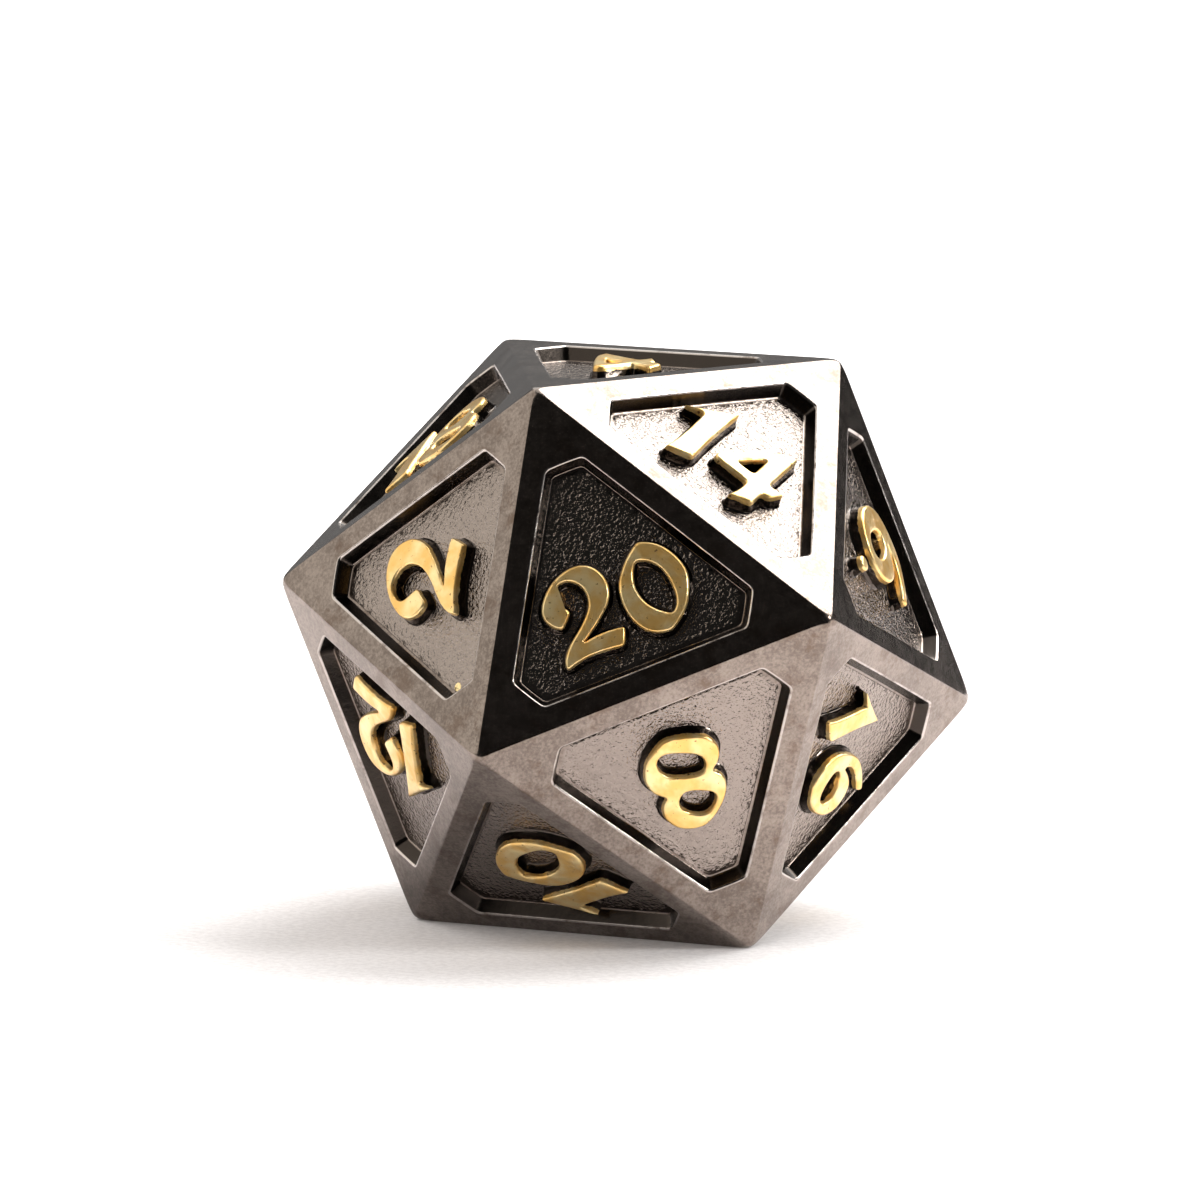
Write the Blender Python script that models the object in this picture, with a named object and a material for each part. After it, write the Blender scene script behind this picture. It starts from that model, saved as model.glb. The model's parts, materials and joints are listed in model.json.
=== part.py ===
"""Twenty-sided metal die: one cast body with a sunk field on each face, and raised numerals.

Units are metres and +Z is up. The die rests on its 17, with the middle of that face at the origin.
"""
import math

import bmesh
import bpy
from mathutils import Matrix, Vector

# The driving size is the distance between opposite faces. The rest follows from the edge length.
ACROSS_FLATS = 0.022
GOLDEN = (1 + math.sqrt(5)) / 2
EDGE = ACROSS_FLATS * math.sqrt(3) / GOLDEN**2
DIE_CENTRE = Vector((0, 0, ACROSS_FLATS / 2))

# How far the corners and edges are worn back from sharp.
CORNER_CUT = 0.020 * EDGE
EDGE_CUT = 0.010 * EDGE
EDGE_SEGMENTS = 2

# Each face has a sunk field: a triangle with its tips cut off, sloping walls and a flat floor.
FIELD_APOTHEM = 0.225 * EDGE
FIELD_TIP = 0.360 * EDGE
FIELD_DEPTH = 0.041 * EDGE
FIELD_DRAFT = math.radians(20)
FIELD_CORNER = 0.020 * EDGE
FIELD_CORNER_POINTS = 4

# Numerals rise from the floor and stop just under the plane of the face.
NUMERAL_FOOT_GAP = 0.00005
NUMERAL_TOP_GAP = 0.00003
DOT_GAP = 0.028 * EDGE
DOT_SIZE = 0.046 * EDGE
CURVE_STEPS = 2

# Layout of a number on its face, in edge lengths: the height of its digits, how far up and
# across its middle is, and the gap between its digits. Hand-cut numbers differ a little.
ONE_DIGIT_LAYOUT = (0.292, 0.024, -0.008, 0.030)
TWO_DIGIT_LAYOUT = (0.280, -0.022, -0.012, 0.030)
OTHER_LAYOUTS = {
    8: (0.292, 0.019, 0.002, 0.030),
    10: (0.288, -0.020, -0.024, 0.026),
    12: (0.294, -0.038, -0.018, 0.012),
    14: (0.287, -0.002, -0.013, 0.030),
    16: (0.262, -0.031, -0.015, 0.056),
    18: (0.284, -0.032, -0.012, 0.026),
    20: (0.253, -0.032, -0.005, 0.016),
}

BLACK_NICKEL = {"colour": (0.052, 0.047, 0.044), "roughness": 0.24}
GOLD = {"colour": (0.78, 0.55, 0.20), "roughness": 0.18}

# Ten faces by their three corners, the corner that the numeral points up to first.
# t is the top ring of corners and u the upper middle ring; a minus is the corner opposite.
NUMBERED_FACES = {
    2: ("uc", "tb", "-ub"),
    4: ("ta", "tb", "tc"),
    6: ("-uc", "tc", "ua"),
    8: ("-ta", "-ub", "ua"),
    10: ("-tc", "-ta", "-ub"),
    12: ("-tc", "-ub", "uc"),
    14: ("tc", "tb", "ua"),
    16: ("-uc", "ua", "-ta"),
    18: ("ta", "uc", "tb"),
    20: ("tb", "ua", "-ub"),
}
HIGHEST = 20

# Outlines of the digits, in hundredths of a digit's height. Points are joined by a smooth curve
# that turns sharply at each CORNER. A second and third outline are the holes.
CORNER = "corner"
DIGITS = {
    "0": [
        [(37, 100, CORNER), (55, 91), (68, 74), (74, 53), (68, 31), (57, 15),
         (37, 0, CORNER), (17, 6), (4, 23), (0, 45), (4, 66), (19, 86)],
        [(28, 82, CORNER), (21, 70), (18, 55), (22, 38), (32, 25),
         (45, 16, CORNER), (53, 26), (55, 43), (52, 62), (42, 76)],
    ],
    "1": [
        [(44, 100, CORNER), (42, 57), (43, 12, CORNER), (17, 0, CORNER), (20, 22),
         (20, 71, CORNER), (12, 68), (0, 63, CORNER), (19, 78)],
    ],
    "2": [
        [(15, 42, CORNER), (4, 52), (1, 65), (9, 80), (26, 94), (47, 100), (65, 95), (76, 76),
         (72, 56), (55, 39), (29, 21, CORNER), (50, 24), (77, 22, CORNER), (69, 3, CORNER),
         (43, 6), (22, 5), (4, 0, CORNER), (6, 11), (15, 23), (36, 40), (49, 55), (52, 71),
         (45, 84), (33, 89), (22, 84), (18, 74), (24, 64), (30, 57, CORNER)],
    ],
    "3": [
        [(12, 66, CORNER), (3, 76), (8, 90), (24, 98), (42, 100), (60, 94), (67, 79),
         (61, 65), (50, 56, CORNER), (65, 47), (71, 30), (62, 11), (40, 0), (16, 3), (3, 14),
         (2, 26), (10, 35, CORNER), (24, 27, CORNER), (22, 18), (32, 12), (44, 18), (49, 32),
         (42, 43), (23, 46, CORNER), (24, 56, CORNER), (38, 62), (44, 74), (40, 85), (29, 88),
         (21, 82), (25, 72, CORNER)],
    ],
    "4": [
        [(58, 100, CORNER), (57, 45, CORNER), (74, 48, CORNER), (65, 31, CORNER),
         (58, 31, CORNER), (58, 11, CORNER), (36, 0, CORNER), (40, 16), (40, 31, CORNER),
         (3, 31, CORNER), (0, 38, CORNER), (41, 91)],
        [(39, 73, CORNER), (19, 45, CORNER), (39, 45, CORNER)],
    ],
    "5": [
        [(10, 100, CORNER), (38, 96), (66, 100, CORNER), (58, 83, CORNER), (42, 80),
         (25, 82, CORNER), (23, 66, CORNER), (46, 64), (65, 52), (70, 32), (60, 10), (38, 0),
         (15, 3), (3, 14), (2, 26), (10, 34, CORNER), (24, 26, CORNER), (23, 17), (33, 12),
         (45, 17), (50, 32), (43, 46), (26, 51), (8, 46, CORNER)],
    ],
    "6": [
        [(59, 100, CORNER), (40, 94), (18, 80), (5, 58), (0, 34), (6, 14), (21, 2), (39, 0),
         (55, 9), (67, 27), (70, 44), (64, 60), (47, 71), (32, 65), (20, 53, CORNER),
         (24, 68), (37, 80), (58, 90, CORNER)],
        [(33, 50), (22, 45), (20, 36), (29, 25), (43, 18), (53, 25), (54, 36), (46, 46)],
    ],
    "7": [
        [(3, 100, CORNER), (34, 95), (70, 99, CORNER), (63, 82), (49, 52), (39, 24),
         (37, 7, CORNER), (12, 0, CORNER), (18, 26), (32, 56), (47, 79, CORNER), (26, 78),
         (14, 79, CORNER), (0, 70, CORNER)],
    ],
    "8": [
        [(38, 100), (57, 94), (67, 80), (67, 68), (59, 58, CORNER), (69, 49), (73, 34),
         (67, 17), (55, 6), (43, 0), (24, 4), (7, 12), (0, 26), (3, 39), (13, 48, CORNER),
         (5, 57), (5, 69), (13, 83), (26, 95)],
        [(30, 88), (19, 80), (17, 72), (24, 66), (42, 59), (49, 64), (51, 72), (44, 82)],
        [(22, 47), (16, 40), (17, 31), (24, 24), (49, 14), (57, 19), (57, 29), (49, 39)],
    ],
}


def turned_over(outlines):
    """Turn a digit's outlines half round, as a 6 makes a 9."""
    width = max(point[0] for point in outlines[0])
    return [[(width - x, 100 - y, *kind) for x, y, *kind in outline] for outline in outlines]


DIGITS["9"] = turned_over(DIGITS["6"])


def die_corners():
    """Place the twelve corners of the icosahedron around the die's centre, by name."""
    inradius = ACROSS_FLATS / 2
    rings = {
        "t": (EDGE / math.sqrt(3), inradius, (150, 270, 30)),
        "u": (EDGE * GOLDEN / math.sqrt(3), EDGE * (GOLDEN - 1) / math.sqrt(12), (330, 90, 210)),
    }
    corners = {}
    for ring, (radius, height, azimuths) in rings.items():
        for letter, azimuth in zip("abc", azimuths):
            angle = math.radians(azimuth)
            corner = Vector((radius * math.cos(angle), radius * math.sin(angle), height))
            corners[ring + letter] = corner
            corners["-" + ring + letter] = -corner
    return corners


def face_frames(corners):
    """Give each number its face's frame: x reads along the numeral, y points up, z outward."""
    frames = {}
    for number, names in NUMBERED_FACES.items():
        for side, shown in ((1, number), (-1, HIGHEST + 1 - number)):
            points = [side * corners[name] for name in names]
            middle = sum(points, Vector()) / 3
            z_axis = middle.normalized()
            y_axis = (points[0] - middle).normalized()
            x_axis = y_axis.cross(z_axis)
            frame = Matrix((x_axis, y_axis, z_axis)).transposed().to_4x4()
            frame.translation = DIE_CENTRE + middle
            frames[shown] = frame
    return frames


def plated(obj, finish):
    """Give an object its own metal material."""
    material = bpy.data.materials.new(obj.name + "_plate")
    material.use_nodes = True
    shader = material.node_tree.nodes["Principled BSDF"]
    shader.inputs["Base Color"].default_value = (*finish["colour"], 1)
    shader.inputs["Metallic"].default_value = 1
    shader.inputs["Roughness"].default_value = finish["roughness"]
    obj.data.materials.append(material)


def add_object(name, bm, matrix, finish):
    """Turn a bmesh into a finished object, placed by its matrix."""
    bmesh.ops.recalc_face_normals(bm, faces=bm.faces)
    mesh = bpy.data.meshes.new(name)
    bm.to_mesh(mesh)
    bm.free()
    mesh.shade_smooth()
    mesh.set_sharp_from_angle(angle=math.radians(25))
    obj = bpy.data.objects.new(name, mesh)
    obj.matrix_world = matrix
    bpy.context.collection.objects.link(obj)
    plated(obj, finish)
    return obj


def add_loop(bm, points, height):
    """Add a closed loop of edges through flat points at one height."""
    verts = [bm.verts.new((x, y, height)) for x, y in points]
    return [bm.edges.new((verts[i - 1], verts[i])) for i in range(len(verts))]


def field_outline(sunk):
    """Outline of the sunk field, in its face's frame, at a depth below the face."""
    inset = sunk * math.tan(FIELD_DRAFT)
    side = FIELD_APOTHEM - inset
    tip = FIELD_TIP - inset
    # The walls' directions alternate: a tip is cut at 90 degrees, then 30 degrees round a side.
    walls = [(tip if i % 2 == 0 else side, math.radians(90 - 60 * i)) for i in range(6)]
    outline = []
    for i, (reach, angle) in enumerate(walls):
        reach_next, angle_next = walls[(i + 1) % 6]
        radius = FIELD_CORNER
        centre = crossing(reach - radius, angle, reach_next - radius, angle_next)
        for step in range(FIELD_CORNER_POINTS):
            turn = angle - math.radians(60) * step / (FIELD_CORNER_POINTS - 1)
            outline.append(centre + radius * Vector((math.cos(turn), math.sin(turn))))
    return outline


def crossing(reach_a, angle_a, reach_b, angle_b):
    """Where two lines cross, each given by its distance from the middle and its direction."""
    sine = math.sin(angle_b - angle_a)
    x = (reach_a * math.sin(angle_b) - reach_b * math.sin(angle_a)) / sine
    y = (reach_b * math.cos(angle_a) - reach_a * math.cos(angle_b)) / sine
    return Vector((x, y))


def sink_field(bm, frame):
    """Open the flat of one face and sink its field: sloping walls and a floor."""
    outward = frame.to_3x3() @ Vector((0, 0, 1))
    flats = [face for face in bm.faces if face.normal.dot(outward) > 0.9999]
    flat = max(flats, key=lambda face: face.calc_area())
    border = list(flat.edges)
    bmesh.ops.delete(bm, geom=[flat], context="FACES_ONLY")
    rim = add_loop(bm, field_outline(0), 0)
    floor = add_loop(bm, field_outline(FIELD_DEPTH), -FIELD_DEPTH)
    sunk_verts = {vert for edge in rim + floor for vert in edge.verts}
    place = Matrix.Translation(-DIE_CENTRE) @ frame
    bmesh.ops.transform(bm, matrix=place, verts=list(sunk_verts))
    bmesh.ops.triangle_fill(bm, edges=border + rim, use_beauty=True, normal=outward)
    bmesh.ops.bridge_loops(bm, edges=rim + floor)
    bmesh.ops.edgeloop_fill(bm, edges=floor)


def add_die_body(corners, frames):
    """The casting: a worn icosahedron with a field sunk into each face."""
    bm = bmesh.new()
    for corner in corners.values():
        bm.verts.new(corner)
    bmesh.ops.convex_hull(bm, input=bm.verts)
    bmesh.ops.bevel(bm, geom=bm.verts[:], offset=CORNER_CUT, affect="VERTICES", segments=1)
    bmesh.ops.bevel(
        bm, geom=bm.edges[:], offset=EDGE_CUT, affect="EDGES", segments=EDGE_SEGMENTS, profile=0.5
    )
    bm.normal_update()
    for frame in frames.values():
        sink_field(bm, frame)
    return add_object("die_body", bm, Matrix.Translation(DIE_CENTRE), BLACK_NICKEL)


def curve_through(points):
    """Points along a smooth closed curve through an outline, sharp at each CORNER."""
    places = [Vector(point[:2]) for point in points]
    sharp = [CORNER in point for point in points]
    count = len(points)
    curve = []
    for i in range(count):
        j = (i + 1) % count
        start, end = places[i], places[j]
        chord = end - start
        leave = (end - places[i - 1]).normalized() * chord.length
        arrive = (places[(j + 1) % count] - start).normalized() * chord.length
        if sharp[i] and sharp[j]:
            leave = arrive = chord
        elif sharp[i]:
            leave = 1.5 * chord - 0.5 * arrive
        elif sharp[j]:
            arrive = 1.5 * chord - 0.5 * leave
        steps = 1 if sharp[i] and sharp[j] else CURVE_STEPS
        for step in range(steps):
            t = step / steps
            curve.append(
                start * (1 + 2 * t) * (1 - t) ** 2
                + leave * t * (1 - t) ** 2
                + end * t * t * (3 - 2 * t)
                - arrive * t * t * (1 - t)
            )
    return curve


def add_numeral_solid(name, outlines, frame):
    """A raised solid on a face: flat outlines filled, then drawn up from the floor."""
    foot = NUMERAL_FOOT_GAP - FIELD_DEPTH
    bm = bmesh.new()
    edges = [edge for outline in outlines for edge in add_loop(bm, outline, foot)]
    bmesh.ops.triangle_fill(bm, edges=edges, use_beauty=True, normal=(0, 0, 1))
    drawn = bmesh.ops.extrude_face_region(bm, geom=bm.faces[:], use_keep_orig=True)
    top = [item for item in drawn["geom"] if isinstance(item, bmesh.types.BMVert)]
    bmesh.ops.translate(bm, verts=top, vec=(0, 0, -NUMERAL_TOP_GAP - foot))
    return add_object(name, bm, frame, GOLD)


def digit_width(digit, height):
    """Width of a digit drawn at a height."""
    return height * max(point[0] for point in DIGITS[digit][0]) / 100


def add_digit(name, digit, height, left, base, frame):
    """One raised digit, with its lower left corner at left and base in its face's frame."""
    outlines = [
        [Vector((left, base)) + point * height / 100 for point in curve_through(outline)]
        for outline in DIGITS[digit]
    ]
    add_numeral_solid(name, outlines, frame)


def add_dot(name, left, base, frame):
    """The dot after a 6 or 9, which tells one from the other."""
    radius = DOT_SIZE / 2
    centre = Vector((left + radius, base + radius))
    sides = 12
    turns = [2 * math.pi * i / sides for i in range(sides)]
    outline = [centre + radius * Vector((math.cos(turn), math.sin(turn))) for turn in turns]
    add_numeral_solid(name, [outline], frame)


def add_number(number, frame):
    """All the raised digits of one face, centred on it, and the dot of a 6 or 9."""
    digits = str(number)
    usual = ONE_DIGIT_LAYOUT if len(digits) == 1 else TWO_DIGIT_LAYOUT
    height, up, across, gap = (EDGE * size for size in OTHER_LAYOUTS.get(number, usual))
    base = up - height / 2
    dotted = digits in ("6", "9")
    width = sum(digit_width(digit, height) for digit in digits) + gap * (len(digits) - 1)
    if dotted:
        width += DOT_GAP + DOT_SIZE
    left = across - width / 2
    places = ["units"] if len(digits) == 1 else ["tens", "units"]
    for digit, place in zip(digits, places):
        add_digit(f"numeral_{number:02d}_{place}", digit, height, left, base, frame)
        left += digit_width(digit, height) + gap
    if dotted:
        add_dot(f"numeral_{number:02d}_dot", left - gap + DOT_GAP, base, frame)


def main():
    """Clear the scene and build the die."""
    for obj in list(bpy.data.objects):
        bpy.data.objects.remove(obj)
    corners = die_corners()
    frames = face_frames(corners)
    add_die_body(corners, frames)
    for number in sorted(frames):
        add_number(number, frames[number])


main()
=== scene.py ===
"""Looks of the twenty-sided metal die: a black nickel body with gold numerals in sunk fields.

The body is drawn as one closed skin, made from one face repeated twenty times, and each
numeral is a raised piece with a rounded rim. Sizes in the tables below are in edge lengths of
the die unless they say otherwise, and +Z is up.
"""
import json
import math

import bmesh
import bpy
import numpy as np
from mathutils import Matrix, Vector, noise
from mathutils.geometry import delaunay_2d_cdt

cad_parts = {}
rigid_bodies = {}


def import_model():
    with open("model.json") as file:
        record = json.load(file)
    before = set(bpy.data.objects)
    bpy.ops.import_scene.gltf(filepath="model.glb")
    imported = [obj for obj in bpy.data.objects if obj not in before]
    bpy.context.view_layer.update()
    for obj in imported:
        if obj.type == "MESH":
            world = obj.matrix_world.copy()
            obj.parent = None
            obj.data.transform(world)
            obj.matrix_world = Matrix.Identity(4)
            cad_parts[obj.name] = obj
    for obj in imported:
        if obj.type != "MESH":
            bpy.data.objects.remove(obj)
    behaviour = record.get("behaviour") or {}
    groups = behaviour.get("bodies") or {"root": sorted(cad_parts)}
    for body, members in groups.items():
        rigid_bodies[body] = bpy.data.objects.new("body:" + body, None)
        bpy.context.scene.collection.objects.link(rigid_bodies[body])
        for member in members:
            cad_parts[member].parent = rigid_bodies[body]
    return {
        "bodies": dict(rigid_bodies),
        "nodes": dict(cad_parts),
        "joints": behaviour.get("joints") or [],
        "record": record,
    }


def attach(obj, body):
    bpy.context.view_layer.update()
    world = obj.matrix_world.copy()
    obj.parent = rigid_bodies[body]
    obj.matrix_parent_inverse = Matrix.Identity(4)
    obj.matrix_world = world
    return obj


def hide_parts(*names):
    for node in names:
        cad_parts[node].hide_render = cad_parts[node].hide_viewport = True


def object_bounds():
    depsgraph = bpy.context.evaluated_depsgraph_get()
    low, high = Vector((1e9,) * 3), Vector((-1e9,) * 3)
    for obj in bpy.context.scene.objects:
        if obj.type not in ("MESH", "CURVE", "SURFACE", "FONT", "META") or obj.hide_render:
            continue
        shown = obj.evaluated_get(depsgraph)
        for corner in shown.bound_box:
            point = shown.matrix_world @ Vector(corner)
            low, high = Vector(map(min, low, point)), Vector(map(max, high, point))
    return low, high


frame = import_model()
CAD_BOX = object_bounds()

# ---------------------------------------------------------------- sizes of the die
LOWEST, HIGHEST_POINT = CAD_BOX
ACROSS_FLATS = HIGHEST_POINT.z - LOWEST.z
GOLDEN = (1 + math.sqrt(5)) / 2
EDGE = ACROSS_FLATS * math.sqrt(3) / GOLDEN**2
DIE_CENTRE = Vector((0, 0, LOWEST.z + ACROSS_FLATS / 2))
FACE_APOTHEM = 1 / math.sqrt(12)

# Worn edges and corners: a higher sharpness is a tighter curve. Only the rows of points near
# the edges of a face are rounded, and they crowd towards them.
EDGE_SHARPNESS = 1000
CORNER_SHARPNESS = 160
CORNER_REACH = 0.055
FRAME_WIDTH = 0.044
FRAME_ROWS = 10
ROW_CROWDING = 2.5
SIDE_POINTS = 28

# The sunk field of a face: three long sides and three cut tips, by their distance from its
# middle. Sides and rows are bowed by a hair, since straight ones would be filled with slivers.
FIELD_APOTHEM = 0.225
FIELD_TIP = 0.360
FIELD_DEPTH = 0.041
FIELD_DRAFT = math.radians(21)
FIELD_CORNER = 0.020
FIELD_CORNER_POINTS = 5
FIELD_SIDE_POINTS = 5
SIDE_BOW = 0.0008
ROW_BOW = 0.08
RIM_RADIUS = 0.008
FOOT_RADIUS = 0.006
ARC_POINTS = 5
FLAT_STRIP = 0.002
FLOOR_SPACING = 0.0105
GRAIN_FADE = 0.012

# Lumps of the cast floors: how many to a metre, and each kind's share of the relief.
FLOOR_RELIEF = 0.0005
FLOOR_LUMPS = [(2500, 1.0), (5500, 0.8)]

# Parts of a field's depth where painted shade darkens its wall and a painted highlight brightens
# its rim.
WALL_SHADE_DEPTHS = (0.10, 0.92)
RIM_HIGHLIGHT_DEPTHS = (0.001, 0.10)

# The repeated faces are joined where their points are closer than this, in metres.
JOIN_DISTANCE = 2e-7

# Raised numerals. Each row of a numeral's skin is a distance that it stands out from the
# outline, and a height between the floor (0) and the top (1): up over the rounded rim, and
# down the drafted wall to its spread foot.
OUTLINE_SPACING = 0.005
OUTLINE_SMOOTHING = 4
OUTLINE_HEIGHT = 0.84
RIM_ROWS = [
    (-0.0006, 0.885),
    (-0.0020, 0.940),
    (-0.0040, 0.976),
    (-0.0062, 0.994),
    (-0.0085, 1.000),
]
WALL_ROWS = [
    (0.0004, 0.760),
    (0.0028, 0.450),
    (0.0056, 0.180),
    (0.0070, 0.090),
    (0.0090, 0.030),
    (0.0112, 0.000),
    (0.0130, -0.060),
]
NUMERAL_DOME = 0.0012
NUMERAL_DOME_REACH = 0.020
NUMERAL_TOP_SPACING = 0.012

# Ten faces by their three corners, the corner that the numeral points up to first.
# t is the top ring of corners and u the upper middle ring; a minus is the corner opposite.
NUMBERED_FACES = {
    2: ("uc", "tb", "-ub"),
    4: ("ta", "tb", "tc"),
    6: ("-uc", "tc", "ua"),
    8: ("-ta", "-ub", "ua"),
    10: ("-tc", "-ta", "-ub"),
    12: ("-tc", "-ub", "uc"),
    14: ("tc", "tb", "ua"),
    16: ("-uc", "ua", "-ta"),
    18: ("ta", "uc", "tb"),
    20: ("tb", "ua", "-ub"),
}
HIGHEST_NUMBER = 20

# Outlines of the digits, in hundredths of a digit's height. Points are joined by a smooth curve
# that turns sharply at each CORNER. A second and third outline are the holes.
CORNER = "corner"
DIGITS = {
    "0": [
        [(37, 100, CORNER), (55, 91), (68, 74), (74, 53), (68, 31), (57, 15),
         (37, 0, CORNER), (17, 6), (4, 23), (0, 45), (4, 66), (19, 86)],
        [(28, 82, CORNER), (21, 70), (18, 55), (22, 38), (32, 25),
         (45, 16, CORNER), (53, 26), (55, 43), (52, 62), (42, 76)],
    ],
    "1": [
        [(44, 100, CORNER), (42, 57), (43, 12, CORNER), (17, 0, CORNER), (20, 22),
         (20, 71, CORNER), (12, 68), (0, 63, CORNER), (19, 78)],
    ],
    "2": [
        [(15, 42, CORNER), (4, 52), (1, 65), (9, 80), (26, 94), (47, 100), (65, 95), (76, 76),
         (72, 56), (55, 39), (29, 21, CORNER), (50, 24), (77, 22, CORNER), (69, 3, CORNER),
         (43, 6), (22, 5), (4, 0, CORNER), (6, 11), (15, 23), (36, 40), (49, 55), (52, 71),
         (45, 84), (33, 89), (22, 84), (18, 74), (24, 64), (30, 57, CORNER)],
    ],
    "3": [
        [(12, 66, CORNER), (3, 76), (8, 90), (24, 98), (42, 100), (60, 94), (67, 79),
         (61, 65), (50, 56, CORNER), (65, 47), (71, 30), (62, 11), (40, 0), (16, 3), (3, 14),
         (2, 26), (10, 35, CORNER), (24, 27, CORNER), (22, 18), (32, 12), (44, 18), (49, 32),
         (42, 43), (23, 46, CORNER), (24, 56, CORNER), (38, 62), (44, 74), (40, 85), (29, 88),
         (21, 82), (25, 72, CORNER)],
    ],
    "4": [
        [(58, 100, CORNER), (57, 45, CORNER), (74, 48, CORNER), (65, 31, CORNER),
         (58, 31, CORNER), (58, 11, CORNER), (36, 0, CORNER), (40, 16), (40, 31, CORNER),
         (3, 31, CORNER), (0, 38, CORNER), (41, 91)],
        [(39, 73, CORNER), (19, 45, CORNER), (39, 45, CORNER)],
    ],
    "5": [
        [(10, 100, CORNER), (38, 96), (66, 100, CORNER), (58, 83, CORNER), (42, 80),
         (25, 82, CORNER), (23, 66, CORNER), (46, 64), (65, 52), (70, 32), (60, 10), (38, 0),
         (15, 3), (3, 14), (2, 26), (10, 34, CORNER), (24, 26, CORNER), (23, 17), (33, 12),
         (45, 17), (50, 32), (43, 46), (26, 51), (8, 46, CORNER)],
    ],
    "6": [
        [(59, 100, CORNER), (40, 94), (18, 80), (5, 58), (0, 34), (6, 14), (21, 2), (39, 0),
         (55, 9), (67, 27), (70, 44), (64, 60), (47, 71), (32, 65), (20, 53, CORNER),
         (24, 68), (37, 80), (58, 90, CORNER)],
        [(33, 50), (22, 45), (20, 36), (29, 25), (43, 18), (53, 25), (54, 36), (46, 46)],
    ],
    "7": [
        [(3, 100, CORNER), (34, 95), (70, 99, CORNER), (63, 82), (49, 52), (39, 24),
         (37, 7, CORNER), (12, 0, CORNER), (18, 26), (32, 56), (47, 79, CORNER), (26, 78),
         (14, 79, CORNER), (0, 70, CORNER)],
    ],
    "8": [
        [(38, 100), (57, 94), (67, 80), (67, 68), (59, 58, CORNER), (69, 49), (73, 34),
         (67, 17), (55, 6), (43, 0), (24, 4), (7, 12), (0, 26), (3, 39), (13, 48, CORNER),
         (5, 57), (5, 69), (13, 83), (26, 95)],
        [(30, 88), (19, 80), (17, 72), (24, 66), (42, 59), (49, 64), (51, 72), (44, 82)],
        [(22, 47), (16, 40), (17, 31), (24, 24), (49, 14), (57, 19), (57, 29), (49, 39)],
    ],
}


def turned_over(outlines):
    """Turn a digit's outlines half round, as a 6 makes a 9."""
    width = max(point[0] for point in outlines[0])
    return [[(width - x, 100 - y, *kind) for x, y, *kind in outline] for outline in outlines]


DIGITS["9"] = turned_over(DIGITS["6"])
DOT_SIDES = 24


# ---------------------------------------------------------------- the die's faces
def die_corners():
    """The twelve corners of the icosahedron around the die's centre, by name."""
    rings = {
        "t": (EDGE / math.sqrt(3), ACROSS_FLATS / 2, (150, 270, 30)),
        "u": (EDGE * GOLDEN / math.sqrt(3), EDGE * (GOLDEN - 1) / math.sqrt(12), (330, 90, 210)),
    }
    corners = {}
    for ring, (radius, height, azimuths) in rings.items():
        for letter, azimuth in zip("abc", azimuths):
            angle = math.radians(azimuth)
            corner = Vector((radius * math.cos(angle), radius * math.sin(angle), height))
            corners[ring + letter] = corner
            corners["-" + ring + letter] = -corner
    return corners


def face_frames(corners):
    """Each number's face frame: x reads along the numeral, y points up, z outward."""
    frames = {}
    for number, names in NUMBERED_FACES.items():
        for side, shown in ((1, number), (-1, HIGHEST_NUMBER + 1 - number)):
            points = [side * corners[name] for name in names]
            middle = sum(points, Vector()) / 3
            z_axis = middle.normalized()
            y_axis = (points[0] - middle).normalized()
            x_axis = y_axis.cross(z_axis)
            placed = Matrix((x_axis, y_axis, z_axis)).transposed().to_4x4()
            placed.translation = DIE_CENTRE + middle
            frames[shown] = placed
    return frames


CORNERS = die_corners()
FRAMES = face_frames(CORNERS)


def to_world(frame, points):
    """Points of a face, in edge lengths in its frame, to world metres."""
    turn = np.array(frame.to_3x3())
    return points * EDGE @ turn.T + np.array(frame.translation)


# ---------------------------------------------------------------- flat outlines
def ring(points, height):
    """Lift a flat closed outline to a height."""
    return np.column_stack([points, np.full(len(points), height)])


def band(outer, inner, count):
    """Faces between two closed rows of points that start at two numbers."""
    steps = np.arange(count)
    following = (steps + 1) % count
    return np.column_stack([outer + steps, outer + following, inner + following, inner + steps])


def inside(points, loops):
    """Which points are inside the loops, by counting crossings."""
    odd = np.zeros(len(points), bool)
    x, y = points[:, 0:1], points[:, 1:2]
    for loop in loops:
        x0, y0 = loop[:, 0], loop[:, 1]
        x1, y1 = np.roll(x0, -1), np.roll(y0, -1)
        spans = (y0 > y) != (y1 > y)
        rise = np.where(y1 == y0, 1, y1 - y0)
        hits = spans & (x < x0 + (y - y0) * (x1 - x0) / rise)
        odd ^= hits.sum(axis=1) % 2 == 1
    return odd


def clearance(points, loops):
    """Distance from each point to the nearest point of the loops."""
    rows = np.concatenate(loops)
    apart = points[:, None, :] - rows[None, :, :]
    return np.sqrt((apart**2).sum(axis=2)).min(axis=1)


def lattice(loops, spacing):
    """Evenly spread points inside the loops, at least half a space clear of their edges."""
    low = np.min([loop.min(axis=0) for loop in loops], axis=0)
    high = np.max([loop.max(axis=0) for loop in loops], axis=0)
    rows = np.arange(low[1], high[1], spacing * math.sqrt(3) / 2)
    columns = np.arange(low[0], high[0], spacing)
    spots = [(x + spacing / 2 * (j % 2), y) for j, y in enumerate(rows) for x in columns]
    spots = np.array(spots)
    spots = spots[inside(spots, loops)]
    if len(spots) == 0:
        return spots.reshape(0, 2)
    return spots[clearance(spots, loops) > spacing * 0.55]


def filled(points, loops):
    """Triangles between flat points, inside closed loops given as lists of point numbers."""
    edges = [(int(loop[i - 1]), int(loop[i])) for loop in loops for i in range(len(loop))]
    found = delaunay_2d_cdt([Vector(point) for point in points], edges, [], 0, 1e-9)
    faces = np.array([[found[3][i][0] for i in face] for face in found[2]])
    middles = points[faces].mean(axis=1)
    return faces[inside(middles, [points[loop] for loop in loops])]


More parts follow.
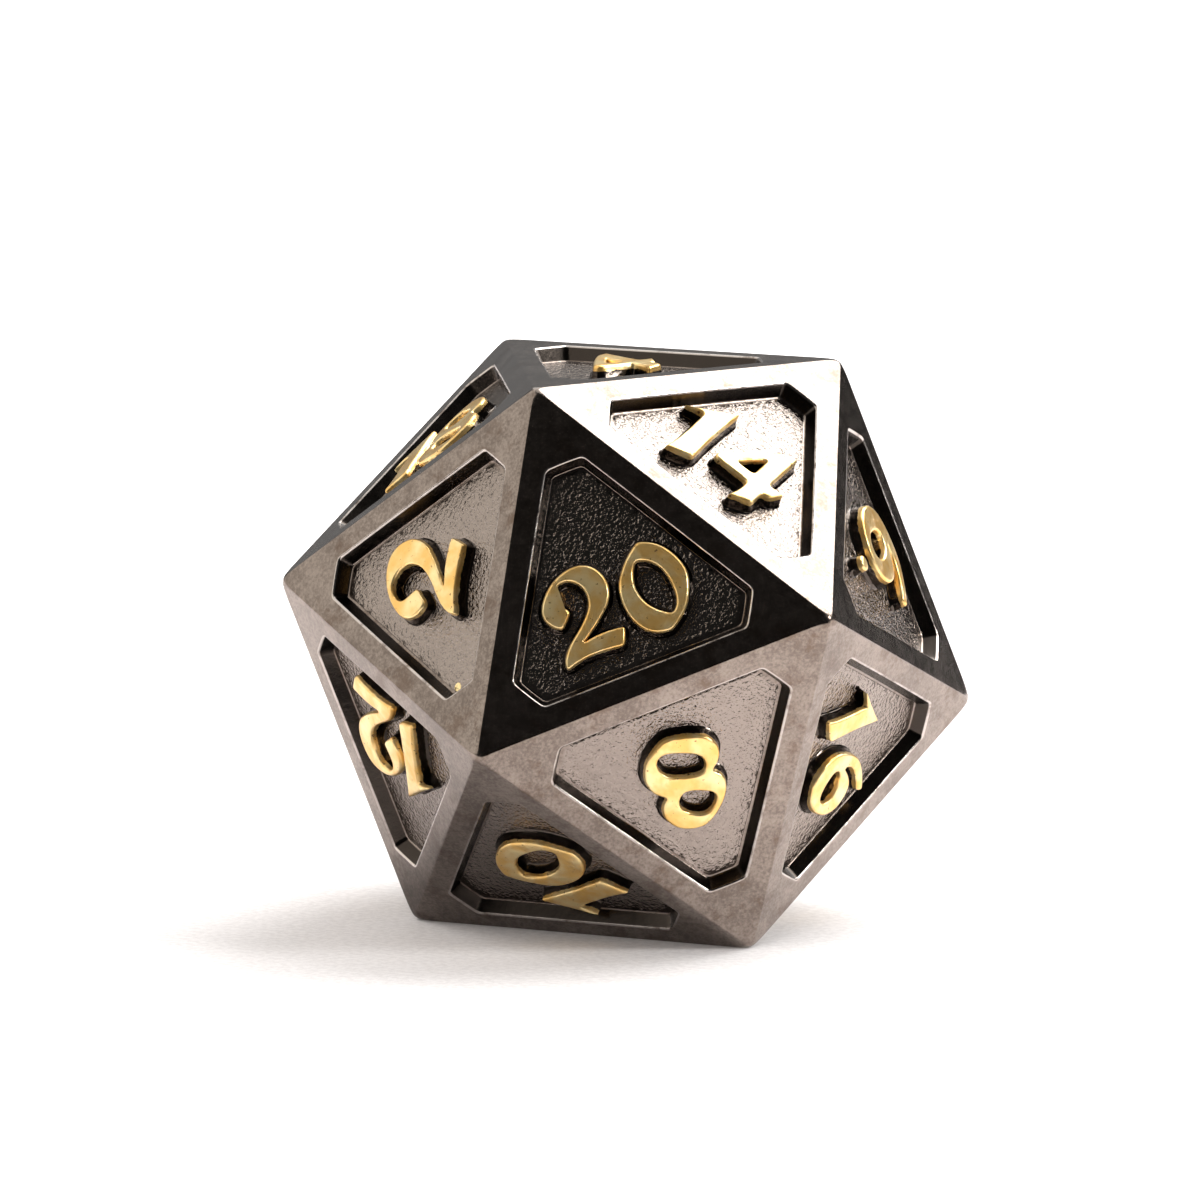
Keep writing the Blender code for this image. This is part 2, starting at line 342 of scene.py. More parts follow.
# ---------------------------------------------------------------- one face of the body
def triangle_row(inset):
    """A triangle like the face's, inset from its sides, with points crowding to its corners."""
    reach = 2 * (FACE_APOTHEM - inset)
    turns = [math.radians(90 + 120 * i) for i in range(4)]
    corners = [reach * np.array((math.cos(turn), math.sin(turn))) for turn in turns]
    steps = (1 - np.cos(np.pi * np.arange(SIDE_POINTS) / SIDE_POINTS))[:, None] / 2
    bow = 1 - 4 * inset * ROW_BOW * steps * (1 - steps)
    sides = [(a + steps * (b - a)) * bow for a, b in zip(corners, corners[1:])]
    return np.concatenate(sides)


def crossing(reach_a, angle_a, reach_b, angle_b):
    """Where two lines cross, each given by its distance from the middle and its direction."""
    sine = math.sin(angle_b - angle_a)
    x = (reach_a * math.sin(angle_b) - reach_b * math.sin(angle_a)) / sine
    y = (reach_b * math.cos(angle_a) - reach_a * math.cos(angle_b)) / sine
    return np.array((x, y))


def field_row(inset):
    """The field's outline, inset from its rim: three long sides and three cut tips."""
    walls = []
    for i in range(6):
        reach = (FIELD_TIP if i % 2 == 0 else FIELD_APOTHEM) - inset
        walls.append((reach, math.radians(90 + 60 * i)))
    arcs = []
    for i, (reach, angle) in enumerate(walls):
        reach_next, angle_next = walls[(i + 1) % 6]
        centre = crossing(reach - FIELD_CORNER, angle, reach_next - FIELD_CORNER, angle_next)
        turns = angle + math.radians(60) * np.linspace(0, 1, FIELD_CORNER_POINTS)
        arcs.append(centre + FIELD_CORNER * np.column_stack([np.cos(turns), np.sin(turns)]))
    outline = []
    for i, arc in enumerate(arcs):
        start, end = arc[-1], arcs[(i + 1) % 6][0]
        steps = np.linspace(0, 1, FIELD_SIDE_POINTS + 2)[1:-1, None]
        out = (start + end) / np.linalg.norm(start + end)
        outline += [arc, start + steps * (end - start) + 4 * SIDE_BOW * steps * (1 - steps) * out]
    return np.concatenate(outline)


def wall_profile():
    """Insets and heights down a field's wall: rounded rim, sloping wall and rounded foot.

    A narrow flat strip on either side keeps the shading of the rim and the foot to themselves.
    """
    slope = math.pi / 2 - FIELD_DRAFT
    tangent = math.tan(slope / 2)
    rim_middle = -RIM_RADIUS * tangent
    foot_middle = FIELD_DEPTH * math.tan(FIELD_DRAFT) + FOOT_RADIUS * tangent
    profile = [(rim_middle - FLAT_STRIP, 0)]
    for turn in np.linspace(0, slope, ARC_POINTS):
        drop = RIM_RADIUS * (1 - math.cos(turn))
        profile.append((rim_middle + RIM_RADIUS * math.sin(turn), -drop))
    for turn in np.linspace(slope, 0, ARC_POINTS):
        rise = FOOT_RADIUS * (1 - math.cos(turn))
        profile.append((foot_middle - FOOT_RADIUS * math.sin(turn), rise - FIELD_DEPTH))
    profile.append((foot_middle + FLAT_STRIP, -FIELD_DEPTH))
    return profile


def face_tile():
    """One face: points and faces, which points are in its frame, and values for the material."""
    insets = FRAME_WIDTH * (np.arange(FRAME_ROWS + 1) / FRAME_ROWS) ** ROW_CROWDING
    frame_rows = [triangle_row(inset) for inset in insets]
    wall_rows = [(field_row(inset), height) for inset, height in wall_profile()]
    foot = wall_rows[-1][0]
    floor = lattice([foot], FLOOR_SPACING)
    count, wall_count = len(frame_rows[0]), len(foot)
    walls = len(frame_rows) * count
    last_wall = walls + (len(wall_rows) - 1) * wall_count

    rows = [ring(row, 0) for row in frame_rows]
    rows += [ring(*row) for row in wall_rows]
    rows.append(ring(floor, -FIELD_DEPTH))
    points = np.concatenate(rows)
    faces = [band(i * count, (i + 1) * count, count) for i in range(FRAME_ROWS)]
    for start in range(walls, last_wall, wall_count):
        faces.append(band(start, start + wall_count, wall_count))

    # The flat of the frame, from its innermost row to the field's rim, and the field's floor.
    flat = np.arange(walls - count, walls + wall_count)
    flat_faces = flat[filled(points[flat, :2], [np.arange(count), count + np.arange(wall_count)])]
    ground = np.arange(last_wall, len(points))
    ground_faces = ground[filled(points[ground, :2], [np.arange(wall_count)])]

    depth = -points[:, 2] / FIELD_DEPTH
    grain = np.zeros(len(points))
    grain[last_wall + wall_count :] = np.clip(clearance(floor, [foot]) / GRAIN_FADE, 0, 1)
    stored = {
        "grain": grain,
        # Where painted shade darkens the field's wall.
        "wall": (depth > WALL_SHADE_DEPTHS[0]) & (depth < WALL_SHADE_DEPTHS[1]),
        # Where a painted highlight brightens the field's rim.
        "rim": (depth > RIM_HIGHLIGHT_DEPTHS[0]) & (depth < RIM_HIGHLIGHT_DEPTHS[1]),
    }
    in_frame = np.arange(len(points)) < walls + wall_count
    return points, [*np.concatenate(faces), *flat_faces, *ground_faces], in_frame, stored


def worn(points):
    """Draw points on the sharp solid in to its rounded edges and corners."""
    outward = np.array([frame.to_3x3().col[2] for frame in FRAMES.values()])
    pointing = np.array([corner.normalized() for corner in CORNERS.values()])
    away = points - np.array(DIE_CENTRE)
    length = np.linalg.norm(away, axis=1)
    nearest = ((away / length[:, None]) @ pointing.T).max(axis=1)
    reach = np.arccos(np.clip(nearest, -1, 1)) * length / (CORNER_REACH * EDGE)
    far = np.clip(reach, 0, 1)
    far = far * far * (3 - 2 * far)
    sharpness = CORNER_SHARPNESS * (EDGE_SHARPNESS / CORNER_SHARPNESS) ** far
    # Each face's share grows with the height over it, so only the nearest faces count.
    heights = np.clip(away @ outward.T / (ACROSS_FLATS / 2), 0.1, None)
    powers = np.log(heights) * sharpness[:, None]
    most = powers.max(axis=1)
    excess = (most + np.log(np.exp(powers - most[:, None]).sum(axis=1))) / sharpness
    return np.array(DIE_CENTRE) + away / np.exp(excess)[:, None]


def floor_relief(spot):
    """How far the cast floor stands out at a spot, in world metres."""
    lumps = sum(share * noise.noise(spot * per_metre) for per_metre, share in FLOOR_LUMPS)
    return lumps * FLOOR_RELIEF * EDGE


def store(mesh, name, values):
    """Keep one value for each point of a mesh, for its material to read."""
    held = mesh.attributes.new(name, "FLOAT", "POINT")
    held.data.foreach_set("value", values.astype(np.float32))


def join_borders(mesh):
    """Join the repeated faces of the die along the edges that they share."""
    joined = bmesh.new()
    joined.from_mesh(mesh)
    border = [vert for vert in joined.verts if vert.is_boundary]
    bmesh.ops.remove_doubles(joined, verts=border, dist=JOIN_DISTANCE)
    joined.to_mesh(mesh)
    joined.free()


def body_skin():
    """The whole body: the face repeated twenty times and joined into one closed skin."""
    tile, tile_faces, in_frame, stored = face_tile()
    points, faces = [], []
    for frame in FRAMES.values():
        placed = to_world(frame, tile)
        placed[in_frame] = worn(placed[in_frame])
        outward = np.array(frame.to_3x3().col[2])
        for i in np.flatnonzero(stored["grain"]):
            placed[i] += outward * floor_relief(Vector(placed[i])) * stored["grain"][i]
        start = len(points) * len(tile)
        faces += [[int(i) + start for i in face] for face in tile_faces]
        points.append(placed)
    mesh = bpy.data.meshes.new("die_body_skin")
    mesh.from_pydata(np.concatenate(points).tolist(), [], faces)
    for name, values in stored.items():
        store(mesh, name, np.tile(values, len(FRAMES)))
    join_borders(mesh)
    mesh.shade_smooth()
    return mesh


# ---------------------------------------------------------------- numerals
def curve_through(outline, steps=8):
    """Points along a smooth closed curve through an outline, sharp at each CORNER."""
    places = [np.array(point[:2], float) for point in outline]
    sharp = [CORNER in point for point in outline]
    count = len(outline)
    curve = []
    for i in range(count):
        j = (i + 1) % count
        start, end = places[i], places[j]
        chord = end - start
        length = np.linalg.norm(chord)
        leave = end - places[i - 1]
        leave = leave * length / np.linalg.norm(leave)
        arrive = places[(j + 1) % count] - start
        arrive = arrive * length / np.linalg.norm(arrive)
        if sharp[i] and sharp[j]:
            leave = arrive = chord
        elif sharp[i]:
            leave = 1.5 * chord - 0.5 * arrive
        elif sharp[j]:
            arrive = 1.5 * chord - 0.5 * leave
        for t in np.arange(steps) / steps:
            curve.append(
                start * (1 + 2 * t) * (1 - t) ** 2
                + leave * t * (1 - t) ** 2
                + end * t * t * (3 - 2 * t)
                - arrive * t * t * (1 - t)
            )
    return np.array(curve)


def softened(outline, passes):
    """A closed outline with each point drawn towards its neighbours, some times over."""
    for _ in range(passes):
        outline = (np.roll(outline, 1, axis=0) + 2 * outline + np.roll(outline, -1, axis=0)) / 4
    return outline


def even(outline, spacing):
    """Spread points evenly along a closed outline and soften its corners."""
    closed = np.vstack([outline, outline[:1]])
    along = np.concatenate([[0], np.cumsum(np.linalg.norm(np.diff(closed, axis=0), axis=1))])
    count = max(12, int(along[-1] / spacing))
    spots = np.arange(count) * along[-1] / count
    spread = np.column_stack([np.interp(spots, along, closed[:, i]) for i in range(2)])
    return softened(spread, OUTLINE_SMOOTHING)


def metal_on_left(outline, outer):
    """Order an outline so that the metal is on its left, as an outer edge or as a hole."""
    x, y = outline.T
    turns_left = np.sum(x * np.roll(y, -1) - y * np.roll(x, -1)) > 0
    return outline if turns_left == outer else outline[::-1]


def moved_out(outline, distance):
    """A closed outline moved away from the metal on its left."""
    ahead = np.roll(outline, -1, axis=0) - np.roll(outline, 1, axis=0)
    across = np.column_stack([ahead[:, 1], -ahead[:, 0]])
    return outline + across * distance / np.linalg.norm(across, axis=1)[:, None]


def crossed(a, b):
    """The flat cross product."""
    return a[..., 0] * b[..., 1] - a[..., 1] * b[..., 0]


def unfolded(outline):
    """Undo the small loops where a moved outline has folded over itself at a tight corner."""
    count = len(outline)
    along = np.roll(outline, -1, axis=0) - outline
    apart = outline[None] - outline[:, None]
    turn = crossed(along[:, None], along[None])
    turn[np.abs(turn) < 1e-10] = np.inf
    here = crossed(apart, along[None]) / turn
    there = crossed(apart, along[:, None]) / turn
    hits = (here > 0) & (here < 1) & (there > 0) & (there < 1)
    outline = outline.copy()
    for i, j in np.argwhere(hits):
        inner = (j - i) % count
        # A longer loop is the outline itself, seen from the other side of the fold.
        if inner > count // 4:
            continue
        knot = outline[i] + here[i, j] * along[i]
        before, after = outline[i].copy(), outline[(j + 1) % count].copy()
        for k in range(1, inner + 1):
            part = 2 * k / (inner + 1)
            if part < 1:
                outline[(i + k) % count] = before + (knot - before) * part
            else:
                outline[(i + k) % count] = knot + (after - knot) * (part - 1)
    return outline


def stepped(outline, rows):
    """Rows that leave an outline step by step, each softened a little and free of folds."""
    reached, made = 0, []
    for distance, height in rows:
        outline = unfolded(softened(moved_out(outline, distance - reached), 1))
        reached = distance
        made.append(ring(outline, FIELD_DEPTH * (height - 1)))
    return made


def crown_points(rims):
    """Points over a numeral's top, which rises a little away from its rims."""
    crown = ring(lattice(rims, NUMERAL_TOP_SPACING), 0)
    if len(crown):
        inward = clearance(crown[:, :2], rims)
        crown[:, 2] += NUMERAL_DOME * (1 - np.exp(-inward / NUMERAL_DOME_REACH))
    return crown


def raised_mesh(name, outlines):
    """A raised numeral in its face's frame: rounded rim, drafted walls and a slightly full top."""
    outlines = [even(outline, OUTLINE_SPACING) for outline in outlines]
    outlines = [metal_on_left(outline, k == 0) for k, outline in enumerate(outlines)]
    points, faces, tops, feet = [], [], [], []
    total = 0
    for outline in outlines:
        count = len(outline)
        middle = ring(outline, FIELD_DEPTH * (OUTLINE_HEIGHT - 1))
        rows = [*reversed(stepped(outline, RIM_ROWS)), middle, *stepped(outline, WALL_ROWS)]
        starts = total + count * np.arange(len(rows))
        for upper, lower in zip(starts, starts[1:]):
            faces.append(band(upper, lower, count)[:, ::-1])
        tops.append(starts[0] + np.arange(count))
        feet.append(starts[-1] + np.arange(count))
        total += count * len(rows)
        points += rows
    points = np.concatenate(points)
    crown = crown_points([points[top, :2] for top in tops])
    points = np.concatenate([points, crown])

    # The top is filled between its rims, and the base like the outlines that it grew from.
    sizes = [len(top) for top in tops]
    loops = [start + np.arange(size) for start, size in zip(np.cumsum([0] + sizes), sizes)]
    lid = np.concatenate([*tops, total + np.arange(len(crown))])
    faces.append(lid[filled(points[lid, :2], loops)])
    base = np.concatenate(feet)
    faces.append(base[filled(np.concatenate(outlines), loops)][:, ::-1])
    mesh = bpy.data.meshes.new(name)
    listed = [face.tolist() for group in faces for face in group]
    mesh.from_pydata((points * EDGE).tolist(), [], listed)
    store(mesh, "rise", 1 + points[:, 2] / FIELD_DEPTH)
    mesh.shade_smooth()
    return mesh


def numeral_outlines(node, number):
    """A numeral's outlines on its face, with the place and height that its CAD node has."""
    cad = bpy.data.objects[node]
    to_face = FRAMES[number].inverted()
    spots = [to_face @ (cad.matrix_world @ vert.co) for vert in cad.data.vertices]
    spots = np.array(spots) / EDGE
    low, high = spots.min(axis=0), spots.max(axis=0)
    if node.endswith("dot"):
        turns = 2 * np.pi * np.arange(DOT_SIDES) / DOT_SIDES
        circle = np.column_stack([np.cos(turns), np.sin(turns)])
        return [(low[:2] + high[:2]) / 2 + circle * (high[0] - low[0]) / 2]
    digits = str(number)
    digit = digits[-1] if node.endswith("units") else digits[0]
    curves = [curve_through(outline) for outline in DIGITS[digit]]
    drawn_low, drawn_high = curves[0].min(axis=0), curves[0].max(axis=0)
    scale = (high[:2] - low[:2]) / (drawn_high - drawn_low)
    return [low[:2] + (curve - drawn_low) * scale for curve in curves]


# ---------------------------------------------------------------- material helpers
def new_material(name):
    """A material with a bare Principled shader, and its node tree and shader."""
    material = bpy.data.materials.new(name)
    material.use_nodes = True
    tree = material.node_tree
    return material, tree, tree.nodes["Principled BSDF"]


def add_node(tree, kind, inputs=None, **settings):
    """Add a node, with its settings, and its inputs linked or set."""
    made = tree.nodes.new(kind)
    for key, value in settings.items():
        setattr(made, key, value)
    for key, value in (inputs or {}).items():
        if isinstance(value, bpy.types.NodeSocket):
            tree.links.new(value, made.inputs[key])
        else:
            made.inputs[key].default_value = value
    return made


def noise_value(tree, where, size, detail, roughness):
    """Noise whose blotches are about so many metres across."""
    made = add_node(
        tree,
        "ShaderNodeTexNoise",
        {"Vector": where, "Scale": 1 / size, "Detail": detail, "Roughness": roughness},
    )
    return made.outputs["Fac"]


def calc(tree, operation, a, b, c=0.0):
    """One math node."""
    made = add_node(tree, "ShaderNodeMath", {0: a, 1: b, 2: c}, operation=operation)
    return made.outputs[0]


def between(tree, value, low, high):
    """Map low to high onto 0 to 1, smoothly. Low may be the larger of the two."""
    made = add_node(
        tree,
        "ShaderNodeMapRange",
        {"Value": value, "From Min": low, "From Max": high},
        interpolation_type="SMOOTHSTEP",
    )
    return made.outputs["Result"]


def mixed(tree, factor, a, b):
    """Mix two colours, given as sockets or as red, green, blue."""
    made = tree.nodes.new("ShaderNodeMix")
    made.data_type = "RGBA"
    sockets = {"Factor": factor, "A": a, "B": b}
    for socket in made.inputs:
        if not socket.enabled or socket.name not in sockets:
            continue
        value = sockets[socket.name]
        if isinstance(value, bpy.types.NodeSocket):
            tree.links.new(value, socket)
        else:
            socket.default_value = (*value, 1) if isinstance(value, tuple) else value
    return next(out for out in made.outputs if out.enabled)


def attribute(tree, name):
    """A stored value of the mesh."""
    return add_node(tree, "ShaderNodeAttribute", attribute_name=name).outputs["Fac"]


def bumped(tree, height, distance, normal=None):
    """Bump of a height in metres, on top of another normal."""
    inputs = {"Height": height, "Distance": distance, "Strength": 1.0}
    if normal is not None:
        inputs["Normal"] = normal
    return add_node(tree, "ShaderNodeBump", inputs).outputs["Normal"]


# ---------------------------------------------------------------- materials
NICKEL_DARK = (0.160, 0.130, 0.110)
NICKEL_LIGHT = (0.290, 0.244, 0.210)
NICKEL_FLOOR = (0.315, 0.270, 0.237)
# Painted shade on the walls of the fields, far darker than the body's nickel.
NICKEL_WALL_SHADE = (0.046, 0.038, 0.032)
# Painted highlight along the rims of the fields.
NICKEL_RIM_HIGHLIGHT = (0.56, 0.51, 0.47)
NICKEL_STAIN = (0.135, 0.096, 0.072)
# Bare black nickel round the numerals' feet, painted darker than the body's nickel as painted
# shade.
NICKEL_FOOT_SHADE = (0.075, 0.062, 0.052)
GOLD_DEEP = (0.82, 0.50, 0.15)
GOLD_PALE = (0.92, 0.73, 0.37)
GOLD_SPECK = (0.22, 0.12, 0.05)
TABLE_DARK = (0.70, 0.680, 0.675)
TABLE_LIGHT = (0.82, 0.800, 0.795)

# Sizes of the blotches of each finish, and heights of their relief, in metres.
CLOUD_SIZE = 0.0022
STAIN_SIZE = 0.0016
# Patches of the painted rim highlight.
RIM_HIGHLIGHT_PATCH_SIZE = 0.0009
MOTTLE_SIZE = 0.00045
MOTTLE_HEIGHT = 0.0000040
FINE_SIZE = 0.00012
FINE_HEIGHT = 0.0000028
GRAIN_SIZE = 0.00015
GRAIN_HEIGHT = 0.000076
STREAK_SIZE = 0.0011
STREAK_HEIGHT = 0.000095
WANDER_SIZE = 0.00045
WANDER_HEIGHT = 0.000020
SPECK_SIZE = 0.00024
TOOTH_SIZE = 0.00030

# Where the gold ends on a numeral's wall, from 0 at the floor to 1 at the top, and how far
# that line wanders.
GOLD_LINE = (0.58, 0.64)
GOLD_WANDER = 0.36

# The stray dot of gold, in edge lengths in the frame of the 2.
GOLD_SPOT_PLACE = (-0.295, -0.133)
GOLD_SPOT_RADIUS = 0.013


def nickel_colour(tree, where, mottle, fine, floor):
    """Clouded and stained nickel, paler on the grained floors."""
    clouds = noise_value(tree, where, CLOUD_SIZE, 4.0, 0.6)
    stains = between(tree, noise_value(tree, where, STAIN_SIZE, 6.0, 0.75), 0.50, 0.66)
    cloudy = calc(tree, "MULTIPLY_ADD", mottle, 0.8, clouds)
    shade = between(tree, calc(tree, "ADD", fine, cloudy), 1.05, 1.72)
    nickel = mixed(tree, shade, NICKEL_DARK, NICKEL_LIGHT)
    nickel = mixed(tree, calc(tree, "MULTIPLY", stains, 0.75), nickel, NICKEL_STAIN)
    return mixed(tree, calc(tree, "MULTIPLY", floor, 0.8), nickel, NICKEL_FLOOR)


def edged(tree, where, nickel):
    """Nickel darkened by painted shade on the walls of the fields and brightened by a painted
    highlight, in patches, on their rims.
    """
    # Painted shade darkens the walls of the fields.
    nickel = mixed(tree, attribute(tree, "wall"), nickel, NICKEL_WALL_SHADE)
    # A painted highlight brightens the rims of the fields in patches.
    rim_glint = between(tree, noise_value(tree, where, RIM_HIGHLIGHT_PATCH_SIZE, 4.0, 0.7), 0.30, 0.55)
    rim_glint = calc(tree, "MULTIPLY", rim_glint, attribute(tree, "rim"))
    return mixed(tree, rim_glint, nickel, NICKEL_RIM_HIGHLIGHT)


def spotted(tree, where, nickel):
    """Nickel with the stray dot of gold on the floor of the 2's field."""
    spot = FRAMES[2] @ (Vector((*GOLD_SPOT_PLACE, -FIELD_DEPTH)) * EDGE)
    away = add_node(tree, "ShaderNodeVectorMath", {0: where, 1: spot}, operation="DISTANCE")
    radius = GOLD_SPOT_RADIUS * EDGE
    covered = between(tree, away.outputs["Value"], radius, 0.8 * radius)
    return mixed(tree, covered, nickel, GOLD_PALE)


def black_nickel():
    """The body: satin black nickel, mottled, with a grained cast floor in each field."""
    material, tree, shader = new_material("black_nickel_plate")
    where = add_node(tree, "ShaderNodeTexCoord").outputs["Object"]
    floor = attribute(tree, "grain")
    mottle = noise_value(tree, where, MOTTLE_SIZE, 4.0, 0.7)
    fine = noise_value(tree, where, FINE_SIZE, 2.0, 0.6)
    grain = noise_value(tree, where, GRAIN_SIZE, 2.0, 0.55)

    nickel = edged(tree, where, nickel_colour(tree, where, mottle, fine, floor))
    tree.links.new(spotted(tree, where, nickel), shader.inputs["Base Color"])
    shader.inputs["Metallic"].default_value = 1

    rough = calc(tree, "MULTIPLY_ADD", mottle, 0.20, 0.11)
    rough = calc(tree, "MULTIPLY_ADD", floor, -0.06, rough)
    tree.links.new(rough, shader.inputs["Roughness"])

    satin = bumped(tree, fine, FINE_HEIGHT, bumped(tree, mottle, MOTTLE_HEIGHT))
    height = calc(tree, "MULTIPLY", grain, floor)
    tree.links.new(bumped(tree, height, GRAIN_HEIGHT, satin), shader.inputs["Normal"])
    return material


def gold_on_nickel():
    """The numerals: gold on the tops and upper walls, with bare black nickel round the foot,
    painted darker than the body's as painted shade.
    """
    material, tree, shader = new_material("gold_plate")
    where = add_node(tree, "ShaderNodeTexCoord").outputs["Object"]
    wander = noise_value(tree, where, WANDER_SIZE, 3.0, 0.6)
    streaks = noise_value(tree, where, STREAK_SIZE, 3.0, 0.5)
    specks = between(tree, noise_value(tree, where, SPECK_SIZE, 3.0, 0.7), 0.64, 0.69)

    # The gold ends along a line that wanders up and down the walls.
    rise = calc(tree, "SUBTRACT", attribute(tree, "rise"), GOLD_WANDER / 2)
    plated = between(tree, calc(tree, "MULTIPLY_ADD", wander, GOLD_WANDER, rise), *GOLD_LINE)
    gold = mixed(tree, between(tree, streaks, 0.35, 0.7), GOLD_DEEP, GOLD_PALE)
    gold = mixed(tree, specks, gold, GOLD_SPECK)
    # Below the gold line the bare nickel is painted darker, as painted shade.
    tree.links.new(mixed(tree, plated, NICKEL_FOOT_SHADE, gold), shader.inputs["Base Color"])
    tree.links.new(calc(tree, "MULTIPLY_ADD", plated, 0.14, 0.15), shader.inputs["Roughness"])
    tree.links.new(calc(tree, "MULTIPLY_ADD", plated, -0.14, 1.0), shader.inputs["Metallic"])

    waves = bumped(tree, streaks, STREAK_HEIGHT)
    tree.links.new(bumped(tree, wander, WANDER_HEIGHT, waves), shader.inputs["Normal"])
    return material


def pale_table():
    """The floor under the die: plain pale board with a fine tooth."""
    material, tree, shader = new_material("pale_table")
    where = add_node(tree, "ShaderNodeTexCoord").outputs["Object"]
    tooth = between(tree, noise_value(tree, where, TOOTH_SIZE, 3.0, 0.7), 0.3, 0.7)
    tree.links.new(mixed(tree, tooth, TABLE_DARK, TABLE_LIGHT), shader.inputs["Base Color"])
    shader.inputs["Roughness"].default_value = 0.9
    shader.inputs["Specular IOR Level"].default_value = 0.1
    return material


# ---------------------------------------------------------------- pieces
def add_piece(name, mesh, material, node, matrix=Matrix.Identity(4)):
    """A visible piece that stands for a CAD node."""
    piece = bpy.data.objects.new(name, mesh)
    piece.matrix_world = matrix
    bpy.context.scene.collection.objects.link(piece)
    mesh.materials.append(material)
    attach(piece, "root")
    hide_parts(node)


def add_die():
    """The body and its numerals."""
    add_piece("visual_die_body", body_skin(), black_nickel(), "die_body")
    gold = gold_on_nickel()
    for node in sorted(name for name in frame["nodes"] if name.startswith("numeral")):
        number = int(node.split("_")[1])
        mesh = raised_mesh("visual_" + node, numeral_outlines(node, number))
        add_piece("visual_" + node, mesh, gold, node, FRAMES[number])


# ---------------------------------------------------------------- studio
CAMERA_AZIMUTH = math.radians(24.907)
CAMERA_ELEVATION = math.radians(9.228)
CAMERA_DISTANCE = 0.40616
CAMERA_AIM = Vector((-0.00105, -0.00022, 0.01254))
CAMERA_ROLL = math.radians(-0.077)
CAMERA_LENS = 311.09

# The stage, in metres, and how bright the dim room is round the die.
TABLE_SIZE = 3.0
TABLE_MIRRORED_FRONT = 0.034
TABLE_MIRRORED_DROP = 0.0001
ROOM_DARK = 0.03
ROOM_LIGHT = 0.25
ROOM_LIGHT_SIDE = (-152, 14)


def towards(turn, height):
    """Direction from the die: turned so many degrees right of the camera, and so high."""
    angle = CAMERA_AZIMUTH + math.radians(turn)
    slope = math.radians(height)
    level = math.cos(slope)
    return Vector((math.sin(angle) * level, -math.cos(angle) * level, math.sin(slope)))


def add_camera():
    """The long lens that looks a little down at the die."""
    data = bpy.data.cameras.new("camera")
    data.lens = CAMERA_LENS
    data.sensor_width = 36
    data.clip_start, data.clip_end = 0.01, 50
    camera = bpy.data.objects.new("camera", data)
    bpy.context.scene.collection.objects.link(camera)
    place = DIE_CENTRE + towards(0, math.degrees(CAMERA_ELEVATION)) * CAMERA_DISTANCE
    turn = (CAMERA_AIM - place).to_track_quat("-Z", "Y").to_matrix().to_4x4()
    camera.matrix_world = Matrix.Translation(place) @ turn @ Matrix.Rotation(CAMERA_ROLL, 4, "Z")
    bpy.context.scene.camera = camera


def add_softbox(
    name, turn, height, distance, width, tall, radiance, colour=(1, 1, 1), shape="RECTANGLE"
):
    """A soft flat light that faces the die and shows in its reflections."""
    data = bpy.data.lights.new(name, "AREA")
    data.shape = shape
    data.size, data.size_y = width, tall
    data.energy = radiance * math.pi * width * tall
    data.color = colour
    light = bpy.data.objects.new(name, data)
    bpy.context.scene.collection.objects.link(light)
    place = DIE_CENTRE + towards(turn, height) * distance
    facing = (place - DIE_CENTRE).to_track_quat("Z", "Y").to_matrix().to_4x4()
    light.matrix_world = Matrix.Translation(place) @ facing
    light.visible_camera = False
    return light


def add_flat(name, corners, material, height):
    """A flat part of the stage, from its corners seen by the camera: right and away."""
    across, away = towards(90, 0), towards(180, 0)
    mesh = bpy.data.meshes.new(name)
    points = [across * x + away * y + Vector((0, 0, height)) for x, y in corners]
    mesh.from_pydata(points, [], [range(len(points))])
    mesh.materials.append(material)
    flat = bpy.data.objects.new(name, mesh)
    bpy.context.scene.collection.objects.link(flat)
    return flat


def add_table():
    """A wide pale floor. What the metal mirrors of it ends just in front of the die."""
    board = pale_table()
    wide = TABLE_SIZE / 2
    front = -TABLE_MIRRORED_FRONT
    shown = [(-wide, -wide), (wide, -wide), (wide, wide), (-wide, wide)]
    mirrored = [(-wide, front), (wide, front), (wide, wide), (-wide, wide)]
    table = add_flat("table", shown, board, 0)
    table.visible_glossy = False
    table.visible_shadow = False
    add_flat("table_mirrored", mirrored, board, -TABLE_MIRRORED_DROP)


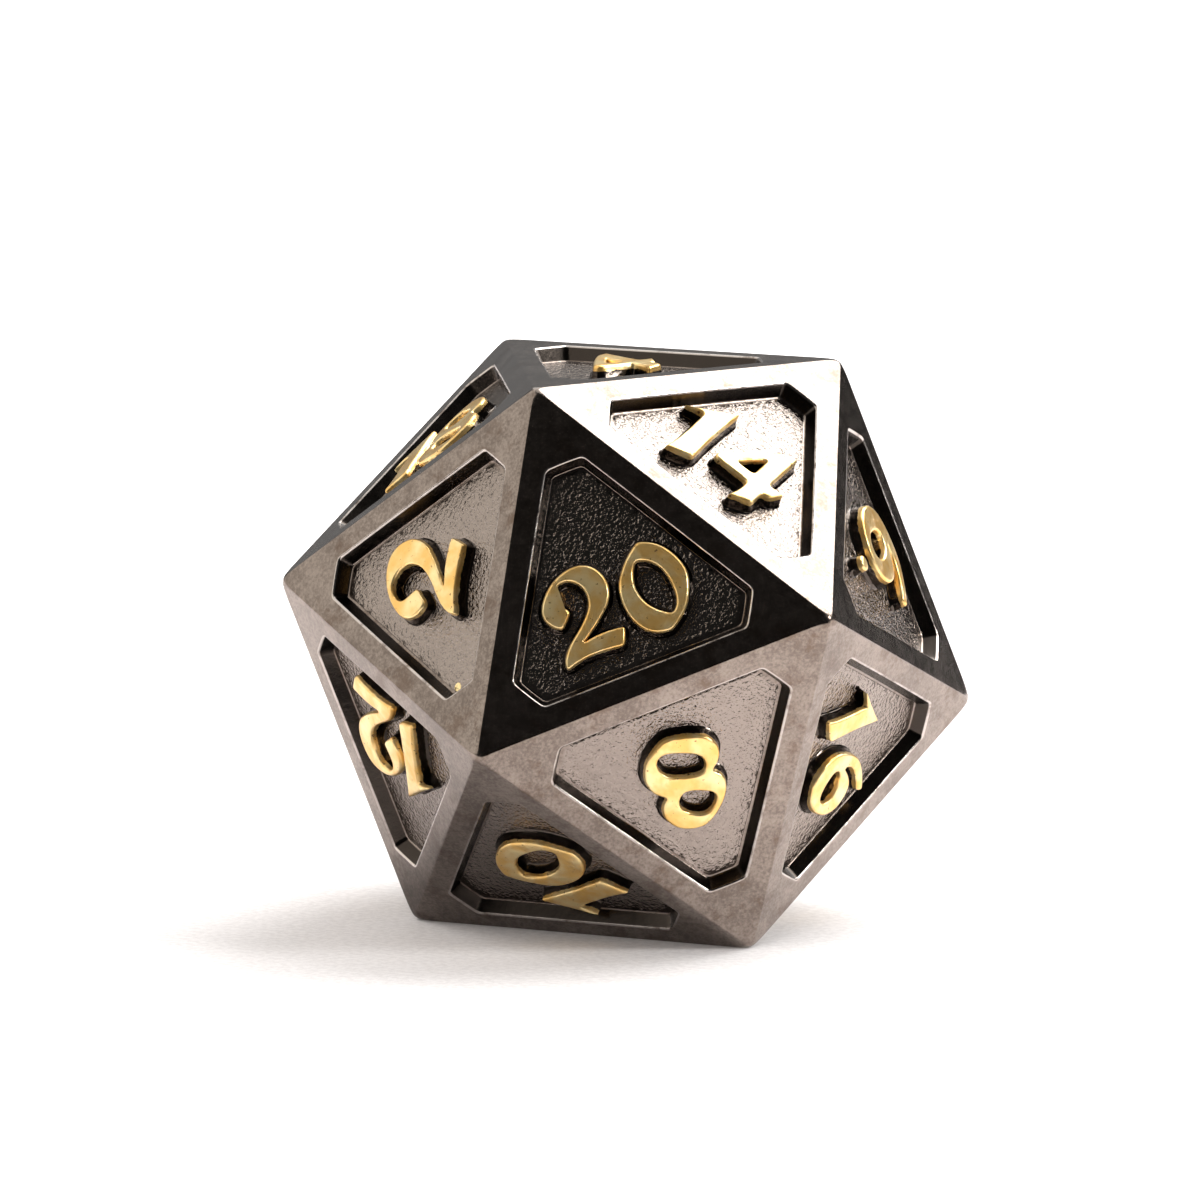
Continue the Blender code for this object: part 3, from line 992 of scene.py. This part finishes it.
def add_room():
    """Dim surroundings for the metal to mirror, lighter behind, and a white backdrop to see."""
    world = bpy.data.worlds.new("room")
    bpy.context.scene.world = world
    world.use_nodes = True
    tree = world.node_tree
    tree.nodes.clear()
    where = add_node(tree, "ShaderNodeTexCoord").outputs["Generated"]
    lit_side = {0: where, 1: towards(*ROOM_LIGHT_SIDE)}
    behind = add_node(tree, "ShaderNodeVectorMath", lit_side, operation="DOT_PRODUCT")
    behind = between(tree, behind.outputs["Value"], 0.6, 1.0)
    light = calc(tree, "MULTIPLY_ADD", behind, ROOM_LIGHT - ROOM_DARK, ROOM_DARK)
    room = add_node(tree, "ShaderNodeBackground", {"Color": (1, 1, 1, 1), "Strength": light})
    backdrop = add_node(tree, "ShaderNodeBackground", {"Color": (1, 1, 1, 1), "Strength": 1.0})
    seen = add_node(tree, "ShaderNodeLightPath").outputs["Is Camera Ray"]
    sides = {0: seen, 1: room.outputs[0], 2: backdrop.outputs[0]}
    shown = add_node(tree, "ShaderNodeMixShader", sides)
    add_node(tree, "ShaderNodeOutputWorld", {"Surface": shown.outputs[0]})


def add_lights():
    """The softboxes: a strong one behind the right, and weaker ones all round."""
    add_softbox(
        "key_light", turn=128, height=48, distance=0.62, width=0.66, tall=0.66, radiance=5.9,
        shape="DISK",
    )
    add_softbox(
        "side_light", turn=73, height=23, distance=0.60, width=0.15, tall=0.15, radiance=30.0,
    )
    add_softbox(
        "left_light", turn=-92, height=34, distance=0.70, width=1.08, tall=0.98, radiance=1.2,
        colour=(1.0, 0.95, 0.89),
    )
    add_softbox(
        "back_light", turn=-173, height=64, distance=0.70, width=0.40, tall=1.10, radiance=1.4,
    )
    fill_light = add_softbox(
        "fill_light", turn=-35, height=42, distance=0.80, width=1.00, tall=1.00, radiance=1.6,
        colour=(1.0, 0.965, 0.95),
    )
    fill_light.visible_glossy = False


def add_studio():
    """The floor, the lights and the room."""
    add_table()
    add_lights()
    add_room()
    view = bpy.context.scene.view_settings
    view.view_transform = "Standard"
    view.look = "None"


add_die()
add_studio()
add_camera()
